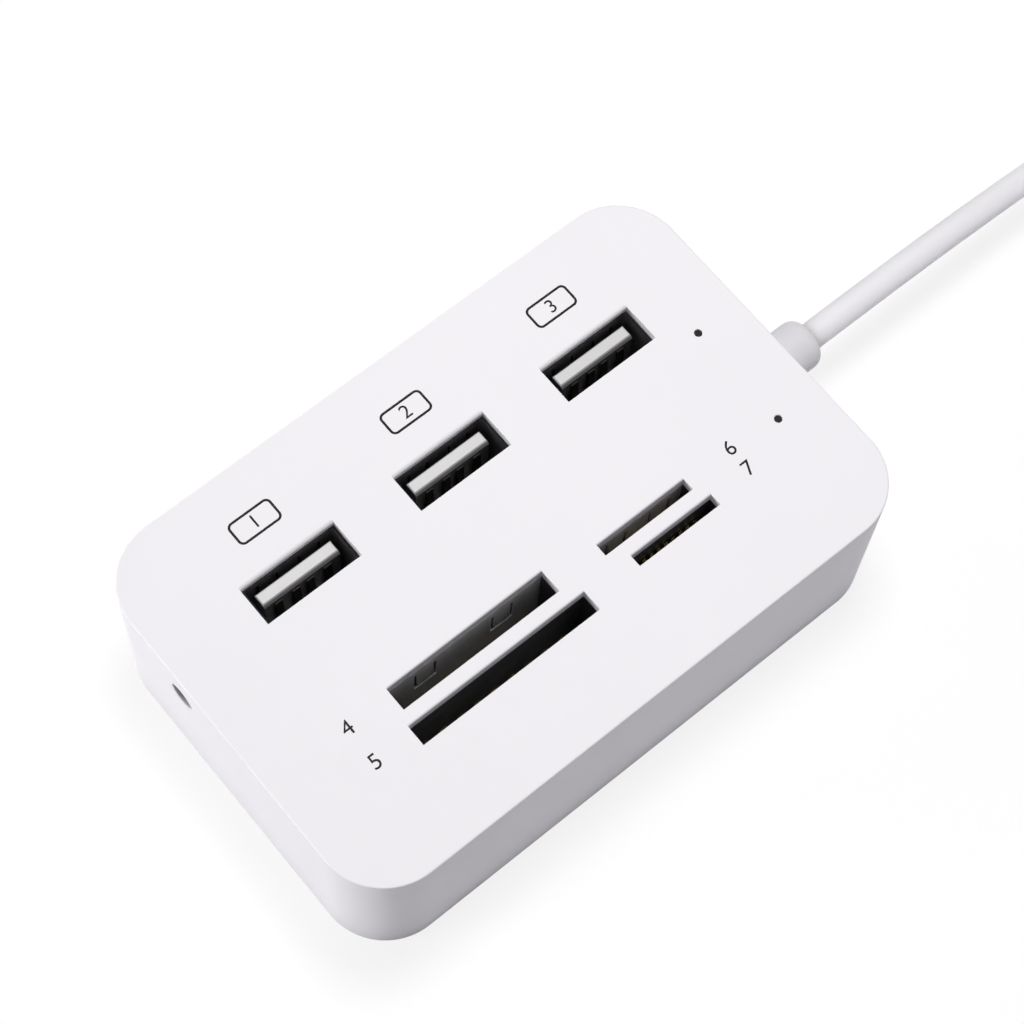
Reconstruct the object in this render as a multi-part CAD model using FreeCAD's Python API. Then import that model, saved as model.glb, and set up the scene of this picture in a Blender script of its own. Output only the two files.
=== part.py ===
import FreeCAD, Part
import math
import os
from FreeCAD import Vector

# A desk hub with three upright USB ports and four card slots, all in millimetres.
# Origin at the middle of the underside, +X towards the lead, +Y towards the USB row, +Z up.

# Housing
length = 80.0
width = 51.6
height = 23.2
corner_radius = 8.2
top_edge_round = 0.3
wall = 1.8
roof = 1.5
rim_wall = 1.0
cover_thickness = 1.8
fit_gap = 0.1
mouth_gap = 0.1

# Snap hooks of the bottom cover
hook_x = 20.0
hook_width = 7.0
hook_thickness = 1.2
hook_top_z = 8.0
catch_z = 6.0
catch_depth = 0.6
catch_height = 0.5

# Upright boards, held by guides in the shell and saddles on the cover
main_face_y = 7.5
main_thickness = 1.6
card_face_y = -9.85
card_thickness = 1.2
board_seat_z = 3.0
board_top_gap = 0.5
guide_reach = 1.5
guide_thickness = 1.0
guide_foot_z = 9.0
saddle_x = 24.0
saddle_length = 5.0
saddle_wall = 1.2
saddle_top_z = 5.0

# USB receptacles
port_count = 3
port_row_x = 0.4
port_inset = 18.1
port_width = 13.1
port_thickness = 5.7
port_depth = 14.5
port_lip = 1.0
port_corner = 0.7
port_sheet = 0.3
opening_side_margin = 0.3
opening_edge_margin = 0.06
tongue_width = 10.8
tongue_thickness = 1.84
tongue_gap = 2.43
tongue_recess = 0.9
tongue_chamfer = 0.15
tongue_lead_in = 0.45
port_block_depth = 4.6
port_contact_places = (-3.5, -1.0, 1.0, 3.5)
port_contact_width = 1.0
port_contact_bow = 0.35
port_contact_short = 1.0
contact_sheet = 0.2
tail_height = 1.0
tail_hole_radius = 0.65
leg_height = 3.0
leg_width = 2.2
leg_proud = 0.7
leg_clearance = 0.2

# Leaf springs punched in the metal sheets
leaf_width = 2.4
leaf_length = 4.0
leaf_cut = 0.4
leaf_below_mouth = 1.5
leaf_spread = 3.0

# Card sockets: slot middle, slot size, depth below the mouth and contacts; two face the back
socket_base = 0.3
socket_rail = 1.0
socket_bar = 2.0
socket_sheet = 0.25
spring_rise = 0.75
spring_run = 2.7
spring_tip = 1.3
foot_length = 1.2
sd_x = -10.8
sd_slot_width = 25.4
sd_slot_thickness = 2.75
sd_depth = 13.3
sd_contact_count = 9
sd_pitch = 2.5
ms_x = -11.45
ms_slot_width = 22.4
ms_slot_thickness = 3.1
ms_depth = 13.3
ms_contact_count = 10
ms_pitch = 1.9
micro_x = 14.85
micro_slot_width = 12.1
micro_slot_thickness = 1.6
micro_depth = 6.6
micro_contact_count = 8
micro_pitch = 1.1
m2_x = 13.15
m2_slot_width = 13.1
m2_slot_thickness = 1.62
m2_depth = 6.6
m2_contact_count = 11
m2_pitch = 1.0
wide_contact = 0.9
narrow_contact = 0.5

# Power jack, let into a notch at the main board's left end
jack_y = 8.6
jack_below_top = 5.2
jack_size = 6.0
jack_length = 9.0
jack_bore_radius = 1.9
jack_bore_depth = 7.5
jack_hole_radius = 2.1
jack_pin_radius = 0.65
jack_pin_recess = 1.2
jack_tail = 0.8
jack_spring_drop = 1.5
jack_spring_width = 1.2

# Side-view lamps under the pinholes
lamp_inset = 6.7
lamp_width = 3.0
lamp_thickness = 1.6
lamp_height = 1.4
lamp_lens_gap = 0.04
lamp_lens_recess = 0.3
lamp_below_board_top = 0.4
pinhole_radius = 0.5

# Parts on the boards
chip_size = 7.0
chip_thickness = 1.2
chip_leads = 8
chip_lead_pitch = 0.8
chip_lead_width = 0.35
chip_lead_reach = 1.0
chip_lead_sheet = 0.2
chip_gap = 2.0
chip_above_tails = 5.8
crystal_length = 10.6
crystal_width = 4.6
crystal_thickness = 3.4
crystal_gap = 1.5
crystal_above_tails = 6.4
can_radius = 2.5
can_height = 5.4
can_base = 1.0
can_above_legs = 4.0
ribbon_width = 8.0
ribbon_thickness = 0.7
ribbon_end_z = 6.8
ribbon_sag = 1.8

# Lead, its relief and the cores inside
lead_height = 10.8
cord_diameter = 3.6
relief_length = 8.4
relief_radius = 3.3
relief_foot_radius = 3.9
relief_foot_length = 1.5
relief_round = 1.7
relief_neck_radius = 2.9
relief_flange_radius = 4.2
relief_flange = 1.6
core_diameter = 0.9
core_spacing = 1.1
core_slant = 0.8

# Coil of the lead's far length, with its tie
coil_x = 140.0
coil_outer = 21.6
coil_stub = 16.0
tie_thickness = 0.6
tie_span = 12.0

# Plug on the far end, lying flat
plug_x = 102.0
boot_length = 6.0
boot_radius = 2.4
grip_length = 20.0
grip_width = 15.6
grip_height = 8.0
grip_round = 1.6
plug_length = 18.5
plug_width = 12.0
plug_thickness = 4.5
plug_sheet = 0.3
plug_insulator_thickness = 1.9
plug_insulator_recess = 0.5
plug_window = 2.4
plug_window_place = 5.2
plug_window_spread = 2.9
plug_contact_length = 7.4
plug_contact_recess = 1.2

# Heights and faces that several pieces share
port_pitch = (length - 2 * port_inset) / (port_count - 1)
lamp_x = length / 2 - lamp_inset
roof_z = height - roof
mouth_z = roof_z - mouth_gap
port_mouth_z = height - port_lip - mouth_gap
board_top_z = roof_z - board_top_gap
inner_x = length / 2 - wall
inner_y = width / 2 - wall
main_back_y = main_face_y - main_thickness
card_front_y = card_face_y - card_thickness
port_rear_z = port_mouth_z - port_depth
tail_z = port_rear_z + tail_height
leg_z = tail_z + leg_height
can_z = leg_z + can_above_legs
chip_z = tail_z + chip_above_tails
crystal_z = tail_z + crystal_above_tails
socket_side = socket_rail + socket_sheet
reader_chip_x = m2_x + m2_slot_width / 2 + socket_side + chip_gap + chip_size / 2 + chip_lead_reach
reader_crystal_x = ms_x - ms_slot_width / 2 - socket_side - crystal_gap - crystal_width / 2
ribbon_x = port_row_x + port_pitch / 2
jack_z = height - jack_below_top
jack_front_x = -inner_x + fit_gap
jack_back_x = jack_front_x + jack_length
jack_bottom_z = jack_z - jack_size / 2
relief_tip_x = length / 2 + relief_length
cord_radius = cord_diameter / 2
coil_inner = coil_outer - cord_diameter
coil_y = -coil_outer
coil_low_z = tie_thickness + cord_radius
coil_high_z = coil_low_z + cord_diameter
plug_y = coil_y - coil_outer
plug_z = grip_height / 2

lead_route = [
    (relief_tip_x, 0.0, lead_height),
    (60.0, 0.0, lead_height),
    (72.0, 0.0, 10.4),
    (84.0, 0.0, 9.4),
    (95.0, 0.0, 7.7),
    (105.0, 0.0, 5.2),
    (115.0, 0.0, coil_low_z),
    (coil_x - coil_stub, 0.0, coil_low_z),
]
tail_route = [
    (coil_x - coil_stub, plug_y, coil_high_z),
    (117.5, plug_y, coil_high_z),
    (108.5, plug_y, plug_z),
    (plug_x, plug_y, plug_z),
]


def about(middle, size):
    return (middle - size / 2, middle + size / 2)


def block(x, y, z):
    return Part.makeBox(x[1] - x[0], y[1] - y[0], z[1] - z[0], Vector(x[0], y[0], z[0]))


def round_edges(solid, radius, direction):
    chosen = []
    for edge in solid.Edges:
        if abs(edge.tangentAt(edge.FirstParameter).dot(direction)) > 0.99:
            chosen.append(edge)
    return solid.makeFillet(radius, chosen)


def rounded_prism(across_x, across_y, radius, z):
    return round_edges(block(about(0, across_x), about(0, across_y), z), radius, Vector(0, 0, 1))


def rod(radius, start, end):
    axis = Vector(*end) - Vector(*start)
    return Part.makeCylinder(radius, axis.Length, Vector(*start), axis)


def turned(profile, centre, axis):
    return Part.Face(Part.Wire(profile)).revolve(centre, axis, 360)


# A bent metal strip: its middle line lies in the YZ plane and x gives its two edges.
def strip(line, thickness, x):
    points = [Vector(x[0], y, z) for y, z in line]
    runs = [(b - a).normalize() for a, b in zip(points, points[1:])]
    sides = [Vector(0, -run.z, run.y) for run in runs]
    near = []
    far = []
    for i, point in enumerate(points):
        before = sides[max(i - 1, 0)]
        after = sides[min(i, len(sides) - 1)]
        mitre = (before + after) * (thickness / 2 / (1 + before.dot(after)))
        near.append(point + mitre)
        far.append(point - mitre)
    outline = near + far[::-1]
    return Part.Face(Part.makePolygon(outline + outline[:1])).extrude(Vector(x[1] - x[0], 0, 0))


# The U-shaped cut around a leaf spring that stays joined at its upper end.
def leaf_slot(middle_x, y, rim_z):
    top = rim_z - leaf_below_mouth
    around = block(about(middle_x, leaf_width + 2 * leaf_cut), y, (top - leaf_length - leaf_cut, top))
    return around.cut(block(about(middle_x, leaf_width), y, (top - leaf_length, top)))


# A round path through the route's points, with tangent arcs as large as the runs allow.
def rounded_route(points):
    points = [Vector(*p) for p in points]
    edges = []
    radii = []
    last = points[0]
    for before, corner, after in zip(points, points[1:], points[2:]):
        come = corner - before
        go = after - corner
        half_turn = come.getAngle(go) / 2
        reach = 0.45 * min(come.Length, go.Length)
        radii.append(reach / math.tan(half_turn))
        enter = corner - come.normalize() * reach
        leave = corner + go.normalize() * reach
        inward = (enter + leave) * 0.5 - corner
        middle = corner + inward.normalize() * (radii[-1] * (1 / math.cos(half_turn) - 1))
        edges.append(Part.LineSegment(last, enter).toShape())
        edges.append(Part.Arc(enter, middle, leave).toShape())
        last = leave
    edges.append(Part.LineSegment(last, points[-1]).toShape())
    return Part.Wire(edges), radii


def tube(name, points, radius):
    path, radii = rounded_route(points)
    heading = Vector(*points[1]) - Vector(*points[0])
    ring = Part.Wire(Part.makeCircle(radius, Vector(*points[0]), heading))
    solid = path.makePipeShell([ring], True, False)
    share = solid.Volume / (math.pi * radius ** 2 * path.Length)
    print(name, "radii", [round(r, 1) for r in radii], "length", round(path.Length, 1),
          "fill", round(share, 4))
    return solid


def port_middles():
    return [port_row_x + (i - (port_count - 1) / 2) * port_pitch for i in range(port_count)]


# Two sockets stand on the card board's rear face and two on its front face.
sockets = {
    "sd": ("front", sd_x, sd_slot_width, sd_slot_thickness, sd_depth,
           sd_contact_count, sd_pitch, wide_contact),
    "ms": ("rear", ms_x, ms_slot_width, ms_slot_thickness, ms_depth,
           ms_contact_count, ms_pitch, wide_contact),
    "micro": ("front", micro_x, micro_slot_width, micro_slot_thickness, micro_depth,
              micro_contact_count, micro_pitch, narrow_contact),
    "m2": ("rear", m2_x, m2_slot_width, m2_slot_thickness, m2_depth,
           m2_contact_count, m2_pitch, narrow_contact),
}


def slot_span(face, slot_thickness):
    if face == "rear":
        return (card_face_y + socket_base, card_face_y + socket_base + slot_thickness)
    return (card_front_y - socket_base - slot_thickness, card_front_y - socket_base)


def board_guides(face_y, thickness, top_left_z):
    solids = []
    for y in (face_y - thickness - fit_gap - guide_thickness, face_y + fit_gap):
        span = (y, y + guide_thickness)
        solids.append(block((inner_x - guide_reach, inner_x), span, (guide_foot_z, roof_z)))
        solids.append(block((-inner_x, guide_reach - inner_x), span, (guide_foot_z, top_left_z)))
    return solids


def top_shell():
    outer = rounded_prism(length, width, corner_radius, (0, height))
    top_edges = [edge for edge in outer.Edges if edge.BoundBox.ZMin > height - fit_gap]
    shell = outer.makeFillet(top_edge_round, top_edges)
    shell = shell.cut(rounded_prism(2 * inner_x, 2 * inner_y, corner_radius - wall, (0, roof_z)))
    rebate = rounded_prism(length - 2 * rim_wall, width - 2 * rim_wall, corner_radius - rim_wall,
                           (0, cover_thickness))
    shell = shell.cut(rebate)
    guides = board_guides(main_face_y, main_thickness, jack_bottom_z - fit_gap)
    guides += board_guides(card_face_y, card_thickness, roof_z)
    shell = shell.fuse(guides)
    cuts = []
    mouth_y = (main_face_y + port_sheet - opening_edge_margin,
               main_face_y + port_thickness - port_sheet + opening_edge_margin)
    seat_y = (main_face_y - fit_gap, main_face_y + port_thickness + fit_gap)
    for x in port_middles():
        mouth_x = about(x, port_width - 2 * port_sheet + 2 * opening_side_margin)
        cuts.append(block(mouth_x, mouth_y, (mouth_z, height)))
        cuts.append(block(about(x, port_width + 2 * fit_gap), seat_y, (mouth_z, height - port_lip)))
    for face, middle_x, slot_width, slot_thickness, *rest in sockets.values():
        cuts.append(block(about(middle_x, slot_width), slot_span(face, slot_thickness), (mouth_z, height)))
    for y in (main_back_y - lamp_thickness / 2, card_face_y + lamp_thickness / 2):
        cuts.append(rod(pinhole_radius, (lamp_x, y, mouth_z), (lamp_x, y, height)))
    cuts.append(rod(jack_hole_radius, (-length / 2, jack_y, jack_z), (-inner_x, jack_y, jack_z)))
    hole_radius = relief_neck_radius + fit_gap
    cuts.append(rod(hole_radius, (inner_x, 0, lead_height), (length / 2, 0, lead_height)))
    pocket_z = (catch_z - fit_gap, hook_top_z + fit_gap)
    for x in (-hook_x, hook_x):
        for y in ((inner_y, inner_y + catch_depth), (-inner_y - catch_depth, -inner_y)):
            cuts.append(block(about(x, hook_width + 2 * fit_gap), y, pocket_z))
    return shell.cut(cuts).removeSplitter()


def snap_hook(middle_x):
    outer = inner_y - fit_gap
    root = (outer - hook_thickness, cover_thickness)
    profile = [
        root,
        (outer, cover_thickness),
        (outer, catch_z),
        (outer + catch_depth, catch_z),
        (outer + catch_depth, catch_z + catch_height),
        (outer, hook_top_z),
        (outer - hook_thickness, hook_top_z),
    ]
    points = [Vector(middle_x - hook_width / 2, y, z) for y, z in profile + [root]]
    return Part.Face(Part.makePolygon(points)).extrude(Vector(hook_width, 0, 0))


def bottom_cover():
    trim = rim_wall + fit_gap
    cover = rounded_prism(length - 2 * trim, width - 2 * trim, corner_radius - trim, (0, cover_thickness))
    solids = []
    for face_y, thickness in ((main_face_y, main_thickness), (card_face_y, card_thickness)):
        slot = (face_y - thickness - fit_gap, face_y + fit_gap)
        for x in (-saddle_x, saddle_x):
            reach = about(x, saddle_length)
            span = (slot[0] - saddle_wall, slot[1] + saddle_wall)
            post = block(reach, span, (cover_thickness, saddle_top_z))
            solids.append(post.cut(block(reach, slot, (board_seat_z, saddle_top_z))))
    hooks = Part.makeCompound([snap_hook(-hook_x), snap_hook(hook_x)])
    solids += hooks.Solids
    solids += hooks.rotated(Vector(0, 0, 0), Vector(0, 0, 1), 180).Solids
    return cover.fuse(solids).removeSplitter()


def main_board():
    span = about(0, 2 * (inner_x - fit_gap))
    thick = (main_back_y, main_face_y)
    board = block(span, thick, (board_seat_z, board_top_z))
    cuts = [block((span[0], jack_back_x + fit_gap), thick, (jack_bottom_z, board_top_z))]
    for middle in port_middles():
        for place in port_contact_places:
            x = middle + place
            cuts.append(rod(tail_hole_radius, (x, main_back_y, tail_z), (x, main_face_y, tail_z)))
        for x in (middle - (port_width - port_sheet) / 2, middle + (port_width - port_sheet) / 2):
            slot_x = about(x, port_sheet + 2 * leg_clearance)
            cuts.append(block(slot_x, thick, about(leg_z, leg_width + 2 * leg_clearance)))
    return board.cut(cuts)


def card_board():
    span = about(0, 2 * (inner_x - fit_gap))
    return block(span, (card_front_y, card_face_y), (board_seat_z, board_top_z))


def port_cavity(middle, z):
    inside = block(about(middle, port_width - 2 * port_sheet),
                   (main_face_y + port_sheet, main_face_y + port_thickness - port_sheet), z)
    return round_edges(inside, port_corner - port_sheet, Vector(0, 0, 1))


def usb_shell(middle):
    reach = (port_rear_z, port_mouth_z)
    outer = block(about(middle, port_width), (main_face_y, main_face_y + port_thickness), reach)
    shell = round_edges(outer, port_corner, Vector(0, 0, 1)).cut(port_cavity(middle, reach))
    legs = []
    for x in (middle - port_width / 2, middle + port_width / 2 - port_sheet):
        root = (main_back_y - leg_proud, main_face_y + port_corner)
        legs.append(block((x, x + port_sheet), root, about(leg_z, leg_width)))
    tail_window = block(about(middle, tongue_width), (main_face_y, main_face_y + port_sheet),
                        (port_rear_z, tail_z + tail_height))
    far_wall = (main_face_y + port_thickness - port_sheet, main_face_y + port_thickness)
    leaves = [leaf_slot(x, far_wall, port_mouth_z) for x in (middle - leaf_spread, middle + leaf_spread)]
    return shell.fuse(legs).cut([tail_window] + leaves).removeSplitter()


def usb_contacts(middle):
    y = main_face_y + port_sheet + tongue_gap - contact_sheet / 2
    block_top = port_rear_z + port_block_depth
    tip = port_mouth_z - tongue_recess - port_contact_short
    line = [
        (main_back_y - leg_proud, tail_z),
        (y, tail_z),
        (y, block_top),
        (y - port_contact_bow, (block_top + tip) / 2),
        (y, tip),
    ]
    spans = [about(middle + place, port_contact_width) for place in port_contact_places]
    return Part.makeCompound([strip(line, contact_sheet, span) for span in spans])


def usb_insulator(middle, contacts):
    base = port_cavity(middle, (port_rear_z, port_rear_z + port_block_depth))
    near = main_face_y + port_sheet + tongue_gap
    tip = port_mouth_z - tongue_recess
    tongue = block(about(middle, tongue_width), (near, near + tongue_thickness), (port_rear_z, tip))
    tip_edges = [edge for edge in tongue.Edges if edge.BoundBox.ZMin > tip - fit_gap]
    contact_edge = [edge for edge in tip_edges if edge.BoundBox.YMax < near + fit_gap]
    tongue = tongue.makeChamfer(tongue_lead_in, contact_edge)
    beyond = near + tongue_lead_in + fit_gap
    tip_edges = [edge for edge in tongue.Edges
                 if edge.BoundBox.ZMin > tip - fit_gap and edge.BoundBox.YMax > beyond]
    tongue = tongue.makeChamfer(tongue_chamfer, tip_edges)
    return base.fuse(tongue).cut(contacts.Solids).removeSplitter()


def set_on_card_board(solid, face, middle_x):
    if face == "rear":
        return solid.translated(Vector(middle_x, card_face_y, 0))
    solid = solid.rotated(Vector(0, 0, 0), Vector(0, 0, 1), 180)
    return solid.translated(Vector(middle_x, card_front_y, 0))


# Built on a face at y = 0 and pointing along +Y, then set on its face of the card board.
def card_socket(face, middle_x, slot_width, slot_thickness, depth, count, pitch, contact_width):
    floor_z = mouth_z - depth
    low_z = floor_z - socket_bar
    front = socket_base + slot_thickness
    across = slot_width + 2 * socket_rail
    places = [(i - (count - 1) / 2) * pitch for i in range(count)]
    body = block(about(0, across), (0, front), (low_z, mouth_z))
    cuts = [block(about(0, slot_width), (socket_base, front), (floor_z, mouth_z))]
    spring_top = floor_z + spring_run + spring_tip
    for x in places:
        slit = about(x, contact_width + fit_gap)
        cuts.append(block(slit, (0, socket_base), (low_z, spring_top + fit_gap)))
    body = body.cut(cuts)
    outside = block(about(0, across + 2 * socket_sheet), (socket_base, front + socket_sheet),
                    (low_z, mouth_z))
    bends = [edge for edge in outside.Edges
             if edge.BoundBox.YMin > front and edge.BoundBox.ZLength > socket_bar]
    inside = block(about(0, across), (0, front), (low_z, mouth_z))
    cover = outside.makeFillet(socket_sheet, bends).cut(inside)
    sheet = (front, front + socket_sheet)
    cover = cover.cut([leaf_slot(x, sheet, mouth_z) for x in (-slot_width / 4, slot_width / 4)])
    rest = contact_sheet / 2
    line = [
        (rest, low_z - foot_length),
        (rest, floor_z),
        (rest + spring_rise, floor_z + spring_run),
        (rest + spring_rise / 2, spring_top),
    ]
    contacts = Part.makeCompound([strip(line, contact_sheet, about(x, contact_width)) for x in places])
    return [set_on_card_board(solid, face, middle_x) for solid in (body, cover, contacts)]


def jack_spring():
    line = [
        (-jack_tail, -jack_spring_drop),
        (jack_bore_depth / 2 + jack_length - jack_bore_depth, -jack_spring_drop),
        (jack_length - jack_pin_recess - jack_tail, -jack_spring_drop + contact_sheet * 2),
        (jack_length - jack_pin_recess, -jack_spring_drop + contact_sheet),
    ]
    spring = strip(line, contact_sheet, about(0, jack_spring_width))
    spring = spring.rotated(Vector(0, 0, 0), Vector(0, 0, 1), 90)
    return spring.translated(Vector(jack_back_x, jack_y, jack_z))


def jack_pin():
    start = (jack_back_x + jack_tail, jack_y, jack_z)
    pin = rod(jack_pin_radius, start, (jack_front_x + jack_pin_recess, jack_y, jack_z))
    tip = [edge for edge in pin.Edges if edge.BoundBox.XMax < jack_front_x + jack_pin_recess + fit_gap]
    return pin.makeChamfer(jack_pin_radius / 2, tip)


def jack_body(pin, spring):
    body = block((jack_front_x, jack_back_x), about(jack_y, jack_size), about(jack_z, jack_size))
    bore_end = (jack_front_x + jack_bore_depth, jack_y, jack_z)
    bore = rod(jack_bore_radius, (jack_front_x, jack_y, jack_z), bore_end)
    return body.cut([bore, pin, spring])


def lamp(face_y, side):
    y = face_y + side * lamp_thickness / 2
    top = board_top_z - lamp_below_board_top
    body = block(about(lamp_x, lamp_width), about(y, lamp_thickness), (top - lamp_height, top))
    lens = rod(pinhole_radius - lamp_lens_gap, (lamp_x, y, top), (lamp_x, y, height - lamp_lens_recess))
    return body.fuse(lens).removeSplitter()


# A flat square chip with bent leads on two sides, standing off the face it is soldered to.
def chip(middle_x, face_y, side):
    body_y = (chip_lead_sheet, chip_lead_sheet + chip_thickness)
    solids = [block(about(0, chip_size), body_y, about(0, chip_size))]
    edge = chip_size / 2
    knee = chip_lead_sheet + chip_thickness / 2
    line = [
        (edge - chip_lead_reach / 2, knee),
        (edge + chip_lead_reach / 2, knee),
        (edge + chip_lead_reach / 2, chip_lead_sheet / 2),
        (edge + chip_lead_reach, chip_lead_sheet / 2),
    ]
    lead_row = []
    for i in range(chip_leads):
        x = (i - (chip_leads - 1) / 2) * chip_lead_pitch
        lead_row.append(strip(line, chip_lead_sheet, about(x, chip_lead_width)))
    row = Part.makeCompound(lead_row).rotated(Vector(0, 0, 0), Vector(1, 0, 0), 90)
    row = row.mirror(Vector(0, 0, 0), Vector(0, 1, 0))
    for turn in (90, 270):
        solids += row.rotated(Vector(0, 0, 0), Vector(0, 1, 0), turn).Solids
    part = solids[0].fuse(solids[1:])
    if side < 0:
        part = part.rotated(Vector(0, 0, 0), Vector(0, 0, 1), 180)
    return part.translated(Vector(middle_x, face_y, chip_z))


def crystal(middle_x, face_y, side):
    far = face_y + side * crystal_thickness
    y = (min(face_y, far), max(face_y, far))
    can = block(about(middle_x, crystal_width), y, about(crystal_z, crystal_length))
    return round_edges(can, crystal_width / 2 - fit_gap, Vector(0, 1, 0))


def bulk_capacitors():
    solids = []
    for x in (port_row_x - port_pitch / 2, port_row_x + port_pitch / 2):
        foot_y = main_back_y - can_base
        foot = block(about(x, 2 * can_radius), (foot_y, main_back_y), about(can_z, 2 * can_radius))
        foot = round_edges(foot, can_base, Vector(0, 1, 0))
        can = rod(can_radius - fit_gap, (x, foot_y, can_z), (x, main_back_y - can_height, can_z))
        solids.append(foot.fuse(can))
    return Part.makeCompound(solids)


def link_ribbon():
    start_x = ribbon_x - ribbon_width / 2
    middle_y = (main_back_y + card_face_y) / 2
    edges = []
    ends = []
    for z in (ribbon_end_z, ribbon_end_z - ribbon_thickness):
        points = [Vector(start_x, main_back_y, z), Vector(start_x, middle_y, z - ribbon_sag),
                  Vector(start_x, card_face_y, z)]
        edges.append(Part.Arc(*points).toShape())
        ends.append((points[0], points[2]))
    edges.append(Part.makeLine(ends[0][0], ends[1][0]))
    edges.append(Part.makeLine(ends[0][1], ends[1][1]))
    outline = Part.Wire(Part.sortEdges(edges)[0])
    return Part.Face(outline).extrude(Vector(ribbon_width, 0, 0))


def strain_relief():
    wall_x = length / 2
    back_x = inner_x - relief_flange
    side_end = relief_tip_x - relief_round
    shoulder = relief_radius - relief_round
    bow = math.sqrt(0.5) * relief_round

    def at(x, radius):
        return Vector(x, 0, lead_height + radius)

    outline = [at(back_x, 0), at(back_x, relief_flange_radius), at(inner_x, relief_flange_radius),
               at(inner_x, relief_neck_radius), at(wall_x, relief_neck_radius),
               at(wall_x, relief_foot_radius), at(wall_x + relief_foot_length, relief_radius),
               at(side_end, relief_radius)]
    profile = [Part.makeLine(a, b) for a, b in zip(outline, outline[1:])]
    profile.append(Part.Arc(at(side_end, relief_radius), at(side_end + bow, shoulder + bow),
                            at(relief_tip_x, shoulder)).toShape())
    profile.append(Part.makeLine(at(relief_tip_x, shoulder), at(relief_tip_x, 0)))
    profile.append(Part.makeLine(at(relief_tip_x, 0), at(back_x, 0)))
    return turned(profile, Vector(0, 0, lead_height), Vector(1, 0, 0))


# Four cores run from the relief across to the main board, trimmed flush with both.
def lead_wires():
    start_x = inner_x - relief_flange
    room = block((0, start_x), (-inner_y, main_back_y), (0, roof_z))
    wires = []
    for y in about(0, core_spacing):
        for z in about(lead_height, core_spacing):
            across = main_back_y - y
            start = Vector(start_x, y, z)
            end = Vector(start_x - core_slant * across, main_back_y, z)
            spare = (end - start).normalize() * core_diameter
            wires.append(rod(core_diameter / 2, start - spare, end + spare).common(room))
    return Part.makeCompound(wires)


# Section of the coil: flats around two turns side by side and one above, each turn of the given radius.
def coil_section(radius):
    flat = radius * math.tan(math.radians(22.5))
    inner = coil_x + coil_inner
    outer = coil_x + coil_outer
    outline = [
        (inner - flat, coil_low_z - radius),
        (outer + flat, coil_low_z - radius),
        (outer + radius, coil_low_z - flat),
        (outer + radius, coil_high_z + flat),
        (outer + flat, coil_high_z + radius),
        (outer - flat, coil_high_z + radius),
        (inner - radius, coil_low_z + flat),
        (inner - radius, coil_low_z - flat),
    ]
    points = [Vector(x, coil_y, z) for x, z in outline + outline[:1]]
    return Part.Face(Part.makePolygon(points))


def cord_coil():
    centre = Vector(coil_x, coil_y, 0)
    ring = coil_section(cord_radius).revolve(centre, Vector(0, 0, 1), 360)
    stubs = []
    for y, z in ((coil_y + coil_outer, coil_low_z), (coil_y - coil_outer, coil_high_z)):
        stubs.append(rod(cord_radius, (coil_x - coil_stub, y, z), (coil_x, y, z)))
    return ring.fuse(stubs).removeSplitter()


def cord_tie():
    band = coil_section(cord_radius + tie_thickness).cut(coil_section(cord_radius))
    centre = Vector(coil_x, coil_y, 0)
    band = band.rotated(centre, Vector(0, 0, 1), -tie_span / 2)
    return band.revolve(centre, Vector(0, 0, 1), tie_span)


def plug_overmould():
    grip_back = plug_x - boot_length
    grip = block((grip_back - grip_length, grip_back), about(plug_y, grip_width), (0, grip_height))
    grip = round_edges(grip, grip_round, Vector(1, 0, 0))
    boot = Part.makeCone(boot_radius, grip_height / 2 - grip_round / 2, boot_length,
                         Vector(plug_x, plug_y, plug_z), Vector(-1, 0, 0))
    return grip.fuse(boot).removeSplitter()


def plug_reach():
    base = plug_x - boot_length - grip_length
    return (base - plug_length, base)


def plug_shell():
    reach = plug_reach()
    outer = block(reach, about(plug_y, plug_width), about(plug_z, plug_thickness))
    inner = block(reach, about(plug_y, plug_width - 2 * plug_sheet),
                  about(plug_z, plug_thickness - 2 * plug_sheet))
    windows = []
    for side in (-1, 1):
        y = about(plug_y + side * plug_window_spread, plug_window)
        x = about(reach[0] + plug_window_place, plug_window)
        windows.append(block(x, y, about(plug_z, plug_thickness)))
    return outer.cut([inner] + windows)


def plug_insulator():
    low, high = plug_reach()
    bottom = plug_z - plug_thickness / 2 + plug_sheet
    return block((low + plug_insulator_recess, high), about(plug_y, plug_width - 2 * plug_sheet),
                 (bottom, bottom + plug_insulator_thickness))


def plug_contacts():
    tip = plug_reach()[0] + plug_contact_recess
    face = plug_z - plug_thickness / 2 + plug_sheet + plug_insulator_thickness
    solids = []
    for place in port_contact_places:
        reach = (tip, tip + plug_contact_length)
        solids.append(block(reach, about(plug_y + place, port_contact_width), (face, face + contact_sheet)))
    return Part.makeCompound(solids)


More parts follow.
